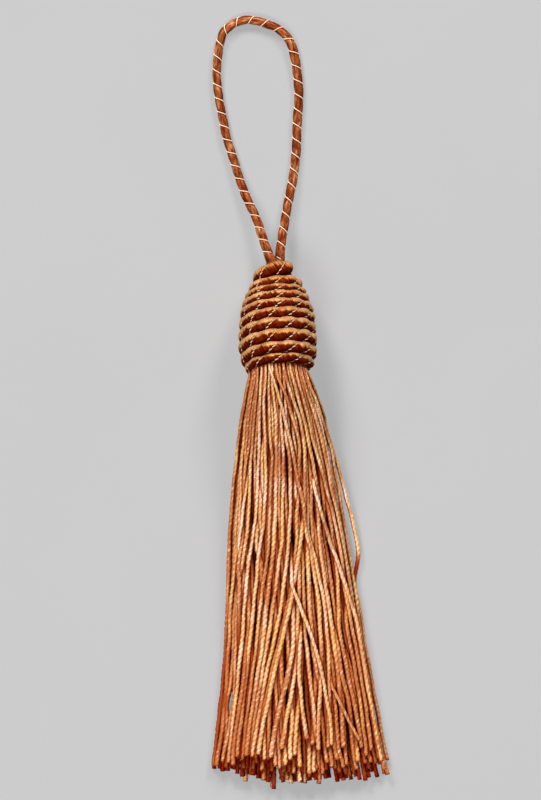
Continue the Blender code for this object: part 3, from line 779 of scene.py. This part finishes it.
class WoundCord:
    """The line of the cord that is wound over the head, in steps of a fraction of a rib."""

    def __init__(self):
        fine = np.linspace(0, TURN_COUNT, 6000)
        along = lengths(winding(fine)[0])
        places = np.linspace(0, along[-1], int(along[-1] / RIB_PITCH * RIB_STEPS))
        self.turns = np.interp(places, along, fine)
        self.centre, outward, self.half_width, self.half_height = winding(self.turns)
        self.along = lengths(self.centre)
        tangent = unit(np.gradient(self.centre, axis=0))
        self.outward = unit(outward - tangent * (outward * tangent).sum(axis=1, keepdims=True))
        self.upward = unit(np.cross(self.outward, tangent))
        # The distance along the outside of the winding, which the binding threads keep to
        crest = smooth(HEAD_TURNS, self.turns)[1:, 1] - 0.3
        self.outer = np.concatenate([[0], np.cumsum(np.diff(self.turns) * TAU * crest)])

    def around(self, angle, extra, scale=1):
        """Points on the cord at angles round it, from outward to upward, raised by an extra."""
        high = (self.half_height[:, None] + extra) * scale * np.cos(angle)
        wide = (self.half_width[:, None] + extra) * scale * np.sin(angle)
        across = self.outward[:, None] * high[..., None] + self.upward[:, None] * wide[..., None]
        return self.centre[:, None] + across


def make_head_cord(line):
    rng = np.random.default_rng(YARN_SEED + 1)
    # More of the section's points lie on the outside, where the cord shows
    even = (np.arange(CORD_SIDES) + 0.5) / CORD_SIDES * TAU - math.pi
    angles = even - 0.35 * np.sin(even)
    number = line.along / RIB_PITCH
    ribs = np.arange(int(number[-1]) + 3)
    rib_size = 0.3 + 0.7 * np.interp(number, ribs, rng.uniform(0, 1, len(ribs)))
    ragged = np.interp(number, ribs, rng.uniform(-1, 1, len(ribs)))
    rib = np.abs(np.cos(math.pi * (number[:, None] + RIB_LEAN * np.sin(angles))))
    phase = BINDING_STARTS * (line.outer[:, None] / BINDING_PITCH - angles / TAU)
    nip = bell(from_whole(phase) * BINDING_PITCH / BINDING_STARTS, BINDING_WIDTH)
    relief = RIB_DEPTH * (rib * rib_size[:, None] - 0.3) - BINDING_NIP * nip
    relief += 0.12 - 0.05 * np.cos(TAU * phase)
    relief += 0.05 * waves(rng, (), line.outer, 11)[:, None]
    # The cord thins a little where it starts, and ends in a round tip
    thinned = 0.88 + 0.12 * growing(line.along, 0, 0.8) ** 0.5
    rest = line.along[-1] - line.along
    tip = 0.12 + 0.88 * np.sqrt(1 - (1 - growing(rest, 0, 1.7)) ** 2)
    rings = line.around(angles, relief, (thinned * tip)[:, None])
    rings[..., 2] = np.maximum(rings[..., 2], 2 * FLOOR_GAP)

    # Painted light and shade: one side of each turn is painted lit and the other painted in shade, with more
    # painted light on the head's two flanks and less in the middle of the upper turns, on the top turn and in
    # the binding's nips
    ragged = 0.2 * ragged + 0.08 * waves(rng, (), line.along, 7)
    turns, flank = line.turns[:, None], np.abs(line.outward[:, :1])
    painted_openness = np.clip((np.cos(angles - PAINTED_LIT_SIDE + ragged[:, None]) - 0.52) / 0.26, -3, 2)
    painted_openness += 1.7 * flank**4 - (0.2 + 0.35 * growing(turns, 4, 7)) * (1 - flank**2)
    painted_openness -= 0.5 * nip + 0.3 * growing(turns, 8.3, 8.6)
    streak = np.interp(number + 0.5, ribs, rng.uniform(-1, 1, len(ribs)))
    tone = 0.5 + 0.15 * waves(rng, (), line.outer, 23) + 0.35 * streak
    # Painted light: the tone is paler on the head's flanks
    tone = tone[:, None] + 0.15 * flank**4
    cord = Tubes()
    cord.add(rings, line.outer, {"painted_light": painted_openness, "tone": tone, "rib": rib}, (0.1, 0.15))
    cord = cord.as_object("head_cord", wound_silk(), cut_silk())
    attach(cord, "root")
    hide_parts("head_winding")


def make_head_threads(cord):
    """The pale thread and the dark one, twisted together, that go round the wound cord."""
    shown = slice(RIB_STEPS * 2, -RIB_STEPS * 3)
    for side, (name, material, *colours) in enumerate(HEAD_THREADS):
        piece = Tubes()
        for start in range(BINDING_STARTS):
            turn = TAU * (cord.outer / BINDING_PITCH + start / BINDING_STARTS)
            line = cord.around(turn[:, None], BINDING_THREAD - BINDING_NIP)[shown, 0]
            line[:, 2] = np.maximum(line[:, 2], 2.5 * BINDING_THREAD)
            along = lengths(line)
            line = evenly(line, BINDING_STEP)
            places = np.linspace(0, along[-1], len(line))
            # Painted light where the thread lies on the cord's painted lit side, and painted shade where it
            # lies on the other
            facing = np.cos(turn[shown] - PAINTED_LIT_SIDE)
            lit = np.interp(places, along, growing(facing, 0.45, 0.75))[:, None]
            under = np.interp(places, along, growing(-facing, 0.15, 0.45))[:, None]
            ply_turn = TAU * (lengths(line) / BINDING_TWIST + side / 2)
            normal, binormal = carried_frames(line, (0.1, 0.2, 1))
            line = line + turned(normal, binormal, ply_turn) * BINDING_THREAD * 0.85
            piece.add(*round_tube(line, BINDING_THREAD, 6), {"painted_light": lit, "tone": under})
        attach(piece.as_object(name, thread(material, *colours)), "root")


def make_core():
    """The bound core, inside the turns, painted dark as wound silk in shade."""
    turns = np.linspace(0.25, TURN_COUNT - 0.2, 40)
    within = smooth(HEAD_TURNS, turns) - (0, CORE_DEPTH)
    axial, radius = np.concatenate([[CORE_MOUTH], within, CORE_TIP]).T
    ring = turned(HEAD_RIGHT, HEAD_UP, round_angles(CORE_SIDES))
    rings = (MOUTH + HEAD_AXIS * axial[:, None])[:, None] + ring * radius[:, None, None]
    core = Tubes()
    core.add(rings, axial, bulge=(0, 0.15))
    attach(core.as_object("head_core", core_silk()), "root")


# ---------------- skirt


def lateral_share(area_share):
    """Where a column lies across an ellipse, from -1 to 1, with that share of its area to its left."""
    low, high = -np.ones_like(area_share), np.ones_like(area_share)
    for _ in range(40):
        middle = (low + high) / 2
        left_area = 0.5 + (middle * np.sqrt(1 - middle**2) + np.arcsin(middle)) / math.pi
        low = np.where(left_area < area_share, middle, low)
        high = np.where(left_area < area_share, high, middle)
    return low


def mouth_lean(height):
    """How much further up than the mouth's centre a yarn leaves the tilted mouth at a height."""
    return (height - MOUTH[2]) * math.tan(HEAD_TILT)


class Skirt:
    """Every yarn's place across the skirt at distances down it, with its radius, end and tone.

    The arrays have a row for each yarn, from the top of the bundle to its bottom, and a column for
    each distance. x runs to the right, and z up from the floor.
    """

    def __init__(self):
        self.rng = np.random.default_rng(YARN_SEED)
        self.down = np.arange(0.6, 108, SKIRT_STEP)
        self.lay_bundle()
        self.lay_top_yarns()
        self.settle()
        self.part()
        self.cut()

    def lay_bundle(self):
        rng, down = self.rng, self.down
        left, right, self.top, bottom, self.side, yarn = passing(SKIRT_SECTIONS, down).T
        self.middle, self.half = (left + right) / 2, (right - left) / 2
        self.rise = self.top - self.side
        rank = np.arange(YARNS) + 0.5
        self.height = 1 - rank / YARNS
        share = rank * GOLDEN_SECTION % 1
        lateral = lateral_share(share)
        self.lateral = lateral / np.abs(lateral).max()
        lateral, far = self.lateral[:, None], np.clip(down / 100, 0, 1.1)

        # The outside layer holds as many yarns as its arc has room for. The others lie under it.
        flatness = (self.half - self.rise) / (self.half + self.rise)
        arc = math.pi / 2 * (self.half + self.rise) * (1 + 0.25 * flatness**2)
        room = arc / (2 * yarn)
        under = np.clip((rank[:, None] - room) / (YARNS - room), 0, 1)
        self.outside = np.clip((room - rank[:, None]) / 6 + 0.5, 0, 1)
        even = np.sin((share - 0.5) * math.pi * 0.94)[:, None]
        spread = self.outside * 0.6 * self.rise / self.half * (1 - 0.5 * far)
        across = lateral + (even - lateral) * spread
        fan = YARN_FAN * rng.normal(size=(YARNS, 1)) * far
        sway = YARN_SWAY * waves(rng, (YARNS,), down, 75)
        sway = (sway - sway[:, :1]) * np.clip(down / 30, 0, 1)
        across = np.clip(across + (fan + sway) * (1 - across**4), -1, 1)
        lift = YARN_LIFT * waves(rng, (YARNS,), down, 90)
        lift = (lift - lift[:, :1]) * np.clip(down / 40, 0, 1)
        level = np.clip(1 - 0.9 * under + lift * (1 - 0.5 * self.outside), 0, 1)
        bulge = np.sqrt(1 - across**2)
        upper, lower = self.side + self.rise * bulge, self.side + (bottom - self.side) * bulge
        self.x = self.middle + across * self.half * 0.985
        self.z = lower + level * (upper - lower)
        uneven = rng.normal(size=(YARNS, 1)).clip(-1.5, 1.5)
        self.radius = yarn * (1 + YARN_UNEVENNESS * uneven)

    def lay_top_yarns(self):
        """Move a yarn to each line of TOP_YARNS, and one to the stray yarn's line."""
        down, x, z = self.down, self.x, self.z
        self.held = np.full(x.shape, LOOSE)
        self.stands = np.zeros(x.shape)
        self.ends, self.tones = np.full((2, YARNS), np.nan)
        free = list(range(YARNS))
        self.stray = free.pop(int(np.argmax(self.lateral)))
        for tone, stand, *places in TOP_YARNS:
            places = (np.reshape(places, (-1, 2)) - (MOUTH_ROW, AXIS_COLUMN)) * GRID
            first = max(places[0, 0], down[0])
            begin = int(first / SKIRT_STEP)
            start = np.interp(first, places[:, 0], places[:, 1])
            # It is the upper yarn whose own place is nearest, or one from below that comes up there
            rises = first > 8 and stand > 0.8
            pool = free[40:100] if rises else free[:60]
            i = min(pool, key=lambda k: abs(x[k, begin] - start) + 0.02 * k)
            free.remove(i)
            places[:, 0] += mouth_lean(z[i, 0])
            share = eased((down - first) / 26 + 1)
            x[i] += (passing(places, down)[:, 0] - x[i]) * share
            if rises:
                share = eased((down - first) / 22 + 0.75)
            across = np.clip((x[i] - self.middle) / self.half, -1, 1)
            surface = self.side + self.rise * np.sqrt(1 - across**2)
            z[i] += (surface + stand - z[i]) * share
            self.held[i] += 0.5 * share
            self.stands[i] = share
            self.outside[i] = np.maximum(self.outside[i], share)
            if stand > 0.95:
                self.radius[i] *= 0.86
            self.ends[i], self.tones[i] = places[-1, 0], tone
        i = self.stray
        places = (np.array(STRAY_YARN) - (MOUTH_ROW, AXIS_COLUMN, 0)) * (GRID, GRID, 1)
        across, up = passing(places, down).T
        share = growing(down, 10, 16)
        x[i] += (across - x[i]) * share
        z[i] += (up - z[i]) * share
        self.held[i] += 0.8 * share
        self.radius[i] *= 0.92

    def settle(self):
        """Push the yarns apart until they lie side by side, while each keeps near its place."""
        spacing = (CROWDING * (self.radius[:, None] + self.radius[None])).transpose(2, 0, 1)
        points = np.stack([self.x.T, self.z.T], axis=-1)
        goal = points.copy()
        firm = LOOSE + 0.22 * self.outside * np.clip(1.3 - self.down / 45, 0.3, 1)
        firm = np.maximum(firm, 0.3 * self.stands).T
        itself = np.eye(YARNS)
        for cycle in range(SETTLE_CYCLES):
            apart = points[:, :, None] - points[:, None]
            gap = np.sqrt((apart**2).sum(axis=-1)) + itself
            push = np.maximum(spacing - gap, 0) / gap * (1 - itself)
            points += 0.35 * np.einsum("sijk,sij->sik", apart, push)
            easing, grip = (0.3, 1) if cycle < 0.75 * SETTLE_CYCLES else (0.12, 0.3)
            points[1:-1] += easing * (points[2:] + points[:-2] - 2 * points[1:-1])
            points[..., 0] += self.held.T * (goal - points)[..., 0]
            points[..., 1] += grip * firm * (goal - points)[..., 1]
            points[..., 1] = np.maximum(points[..., 1], self.radius.T * 0.9)
        aside = waves(self.rng, (YARNS, 2), self.down, 12)
        aside *= YARN_WAVES * np.clip(self.down / 6, 0, 1)
        self.x, self.z = points[..., 0].T + aside[:, 0], points[..., 1].T + aside[:, 1]
        self.z = np.maximum(self.z, self.radius * 0.9)

    def part(self):
        """Move the yarns aside where the upper ones part, and at the slits."""
        upper = np.clip(self.z / self.top * 1.6 - 0.5, 0, 1)
        shift = np.zeros_like(self.x)
        for start, x0, end, x1, width in PARTINGS:
            line = x0 + (x1 - x0) * (self.down - start) / (end - start)
            fade = growing(self.down, start - 6, start + 3)
            fade = eased(fade * growing(-self.down, -end - 6, -end + 3))
            off = self.x - line
            side = np.tanh((off * fade).sum(axis=1, keepdims=True) / fade.sum() / 0.25)
            away = np.exp(-np.maximum(off * side, -0.3) / 1.4)
            shift += width * fade * upper * side * np.minimum(away, 1)
        for middle, x0, half, width in SLITS:
            fade = bell(self.down - middle, half)
            slope = (x0 + 1.7) / 100
            off = self.x - (x0 + slope * (self.down - middle))
            side = np.sign((off * fade).sum(axis=1, keepdims=True))
            shift += width * fade * side * np.minimum(np.exp(-off * side / 1.6), 1)
        self.x += shift * (self.held < 0.1)

    def cut(self):
        """Give every other yarn an end and a tone, and every yarn its start below the mouth."""
        rng, lateral, height = self.rng, self.lateral, self.height
        lean = mouth_lean(self.z[:, 0])
        self.start = MOUTH[1] + lean
        end = np.interp(lateral, *np.array(HEM).T) - HEM_RISE * height**0.7
        end += HEM_JITTER * (rng.uniform(-1, 1, YARNS) + 0.6 * np.sin(17 * lateral))
        end += np.where(rng.uniform(0, 1, YARNS) > 0.88, 1.8, 0) * (height < 0.6)
        across, low = (np.array(LOW_ENDS) - (AXIS_COLUMN, MOUTH_ROW)).T * GRID
        shorter = 1.5 * rng.uniform(0, 1, YARNS) ** 2 - 0.7
        lowest = np.interp(self.x[:, -4], across, low) - shorter
        end = np.where(height < 0.4, lowest, end) + lean
        self.ends = np.where(np.isnan(self.ends), end, self.ends)
        tone = np.clip(rng.normal(0.46, 0.32, YARNS) - 0.25 * lateral**4, 0, 1)
        tone -= 0.2 * (height < 0.55)
        self.tones = np.where(np.isnan(self.tones), tone, self.tones)
        self.tones[self.stray] = 0.8
        # Of the low yarns, some end pale in painted light, and the others end in painted shade
        low = np.arange(YARNS) > 0.6 * YARNS
        pale = np.clip((self.tones - 0.22) / 0.2, 0, 1)
        self.tones += 0.3 * pale * low
        self.painted_end_light = (1.75 * pale - 0.93) * low

    def path(self, i):
        """A yarn's points from its root to its end, and how far below the mouth they are."""
        line = np.stack([self.x[i], self.start[i] - self.down, self.z[i]], axis=-1)
        fine = smooth(line, np.linspace(0, len(line) - 1, 8 * len(line)))
        fine = fine[self.start[i] - fine[:, 1] <= self.ends[i]]
        root = fine[0] + HEAD_AXIS * ROOT_LENGTH
        step = LOW_YARN_STEP if i > 0.62 * YARNS else YARN_STEP
        path = evenly(np.concatenate([[root], fine]), step)
        return path, self.start[i] - path[:, 1]

    def painted_occlusion(self):
        """16 directions round a yarn, and how much light each one is painted with all down it, from 0 to 1,
        with painted shade where its neighbours cover it.
        """
        bins = 16
        bearings = (np.arange(bins) + 0.5) / bins * TAU
        painted_openness = np.ones((*self.x.shape, bins))
        for s, at in enumerate(self.down):
            across, up = (v[None, :, s] - v[:, None, s] for v in (self.x, self.z))
            far = np.hypot(across, up) + np.eye(YARNS) * 99
            half = np.arcsin(np.clip(self.radius[None, :, s] / far, 0, 1))
            near = bell(far, 9) * np.clip((self.ends - at) / 2 + 0.7, 0, 1)
            off = np.arctan2(up, across)[..., None] - bearings
            off = np.abs((off + math.pi) % TAU - math.pi)
            cover = np.clip((half[..., None] + math.pi / bins - off) / (TAU / bins), 0, 1)
            painted_openness[:, s] = np.prod(1 - 0.85 * cover * near[..., None], axis=1)
        # Painted shade on the yarns' undersides
        painted_openness[..., np.sin(bearings) < -0.15] *= 0.35
        return bearings, painted_openness

    def shaded(self, i, path, below, rest, painted_exposure):
        """A yarn's painted light and shade and its tone at its points, given the painted shade that its
        neighbours leave on it.
        """
        x = path[:, 0]
        # Painted highlight: the crowded yarns near the mouth are painted lighter on their crests
        crest = 0.62 * np.exp(-below / 24) + 0.25 * np.exp(-below / 8)
        painted_exposure = painted_exposure + crest[:, None] * np.clip((painted_exposure - 0.3) / 0.25, -0.3, 1)
        # Painted shade next to the mouth and at the yarn's end, and painted light or shade at the low yarns'
        # ends
        shade = 0.2 + 0.8 * growing(below, 0.1, 1.7)
        shade *= 0.45 + 0.55 * growing(rest, 0, 0.9)
        shade *= 1 + self.painted_end_light[i] * np.exp(-rest / 6)
        if i == self.stray:  # painted shade where it turns under
            shade *= 1 - 0.85 * bell(below - STRAY_BEND, 3.2)
        # Low on the left, the rust yarns get painted shade, as if they lay deeper between the pale ones
        sunk = growing(-x, 3, 7) * growing(below, 55, 75)
        sunk *= np.clip((101 - below) / 5, 0.2, 1)
        shade *= 1 - 0.95 * max(1 - self.tones[i] / 0.7, 0) * sunk
        # The tone is deeper on the flanks, next to the mouth and low on both sides. It is also paler in the
        # middle near the mouth and deeper low down all across: painted light and painted shade that even out
        # how the lamps light the skirt.
        flank = growing(np.abs(x - 0.5), 0, 6) ** 2
        tone = self.tones[i] + (0.12 - 0.32 * flank) * np.exp(-below / 22)
        tone -= 0.25 * np.exp(-below / 9) + 0.1 * growing(below, 45, 75)
        aside = 0.45 * growing(x, 7, 15) + 0.2 * growing(-x, 4, 8)
        tone -= aside * growing(below, 50, 75)
        return np.clip(painted_exposure, 0, 1) * shade[:, None], tone[:, None]


def make_skirt():
    skirt = Skirt()
    rng = skirt.rng
    bearings, painted_openness = skirt.painted_occlusion()
    start_turn = rng.uniform(0, TAU, YARNS)
    twist = YARN_TWIST * (1 + 0.08 * rng.normal(size=YARNS))
    angles = round_angles(YARN_SIDES)
    waist = PLY_WAIST + (1 - PLY_WAIST) * np.abs(np.cos(angles)) ** 0.9
    groups = [Tubes() for _ in range(SKIRT_PIECES)]
    for i in range(YARNS):
        path, below = skirt.path(i)
        along = lengths(path)
        rest = along[-1] - along
        normal, binormal = carried_frames(path, (0, 0, 1))
        turn = start_turn[i] + TAU * along / twist[i]
        turn += 0.5 * waves(rng, (), along, 17)
        radius = np.interp(below, skirt.down, skirt.radius[i])
        radius *= 1 + 0.05 * np.clip(1 - rest / 1.2, 0, 1)
        radius *= 1 + 0.06 * waves(rng, (), along, 13)
        out = turned(normal[:, None], binormal[:, None], angles + turn[:, None])
        rings = path[:, None] + out * (radius[:, None] * waist)[..., None]
        rings[..., 2] = np.maximum(rings[..., 2], FLOOR_GAP)
        # Painted light and shade round the yarn, from the directions that its neighbours leave uncovered
        light = [np.interp(below, skirt.down, column) for column in painted_openness[i].T]
        bearing = np.arctan2(out[..., 2], out[..., 0])
        facing = np.maximum(np.cos(bearing[..., None] - bearings), 0)
        painted_exposure = (facing * np.stack(light, axis=-1)[:, None]).sum(axis=-1) / facing.sum(axis=-1)
        painted_exposure, tone = skirt.shaded(i, path, below, rest, painted_exposure)
        group = groups[i * SKIRT_PIECES // YARNS]
        group.add(rings, along + YARN_STAGGER * i, {"painted_light": painted_exposure, "tone": tone}, (0, 0.06))
    side, cut = skirt_silk(), cut_silk()
    for k, group in enumerate(groups):
        piece = group.as_object(f"skirt_yarns_{k + 1}", side, cut)
        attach(piece, "root")
        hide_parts("skirt")


make_camera()
make_light()
make_floor()
make_loop()
make_core()
wound = WoundCord()
make_head_cord(wound)
make_head_threads(wound)
make_skirt()
